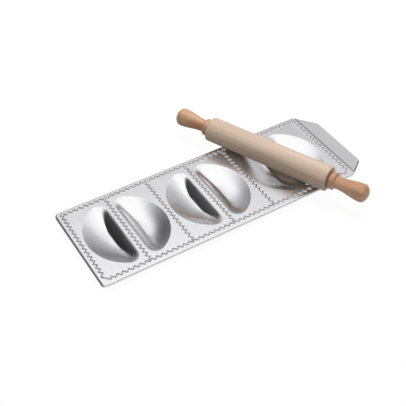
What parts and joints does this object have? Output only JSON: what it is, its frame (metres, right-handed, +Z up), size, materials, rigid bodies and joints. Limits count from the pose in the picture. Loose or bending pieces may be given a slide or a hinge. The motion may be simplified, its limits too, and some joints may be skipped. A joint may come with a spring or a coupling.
{
  "type": "ravioli mould",
  "caption": "Pressed aluminium ravioli tray with half-moon dishes, zigzag cutting ridges and a folded end flap, with its small turned wooden roller lying across it.",
  "frame": {"origin": "middle of the object's box, on the surface that the tray stands on", "axes": "+X along the tray towards the folded flap, +Y across the tray away from the viewer, +Z up"},
  "size_m": [0.3222, 0.2166, 0.0366],
  "materials": {
    "aluminium": "satin",
    "beech": "sanded",
    "varnished_beech": "clear varnish",
    "steel": "turned",
    "nylon": "moulded"
  },
  "bodies": {
    "tray": {"mould_tray": "aluminium"},
    "roller_frame": {"axle_rod": "steel", "washer_front": "steel", "washer_back": "steel", "handle_front": "varnished_beech", "handle_back": "varnished_beech"},
    "barrel": {"roller_barrel": "beech", "bush_front": "nylon", "bush_back": "nylon"}
  },
  "joints": [
    {"name": "roller_lift", "type": "slide", "parent": "tray", "child": "roller_frame", "axis": [0, 0, 1], "range_m": [0, 0.08]},
    {"name": "barrel_spin", "type": "hinge", "parent": "roller_frame", "child": "barrel", "pos_m": [0.0678, 0, 0.0232], "axis": [0.4115, -0.9114, 0], "continuous": true}
  ]
}
